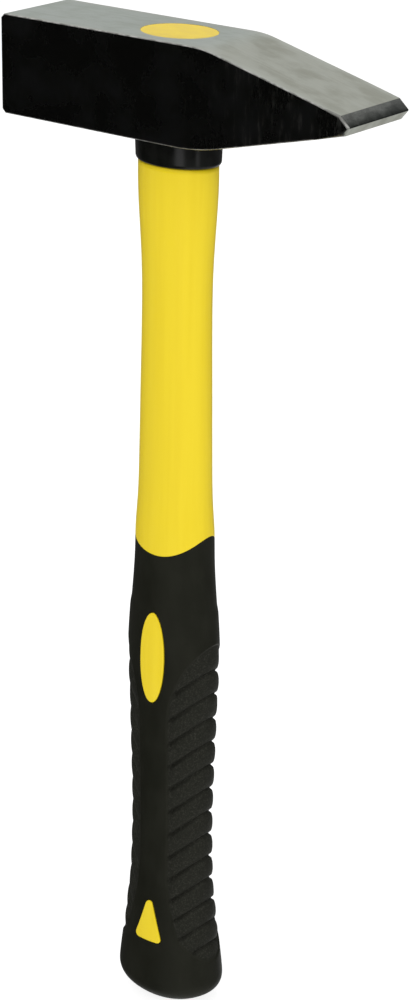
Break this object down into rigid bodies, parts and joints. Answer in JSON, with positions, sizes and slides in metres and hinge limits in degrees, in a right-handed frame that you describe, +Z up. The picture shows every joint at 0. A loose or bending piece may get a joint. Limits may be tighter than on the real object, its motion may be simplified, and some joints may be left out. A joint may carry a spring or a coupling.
{
  "type": "cross-pein hammer",
  "caption": "Cross-pein engineer's hammer: square striking face, wedge-shaped pein, oval eye filled flush, yellow moulded handle and black ribbed rubber grip with oval and triangular windows.",
  "frame": {"origin": "centre of the eye at the head's top face", "axes": "+Z up out of the head's top, -X towards the striking face, +X towards the pein, the handle hangs along -Z"},
  "size_m": [0.1154, 0.027, 0.2913],
  "materials": {
    "head_steel": "satin ground stainless steel, lengthwise grain",
    "cap_resin": "satin cast resin",
    "bond_epoxy": "cast epoxy, not seen",
    "core_fibreglass": "drawn glass-fibre rod, not seen",
    "jacket_plastic": "satin moulded plastic",
    "collar_plastic": "semi-gloss moulded plastic",
    "grip_rubber": "matte soft rubber"
  },
  "bodies": {
    "root": {"hammer_head": "head_steel", "top_resin_cap": "cap_resin", "bond_resin": "bond_epoxy", "fibreglass_core": "core_fibreglass", "handle_jacket": "jacket_plastic", "neck_collar": "collar_plastic", "grip_sleeve": "grip_rubber"}
  },
  "joints": []
}
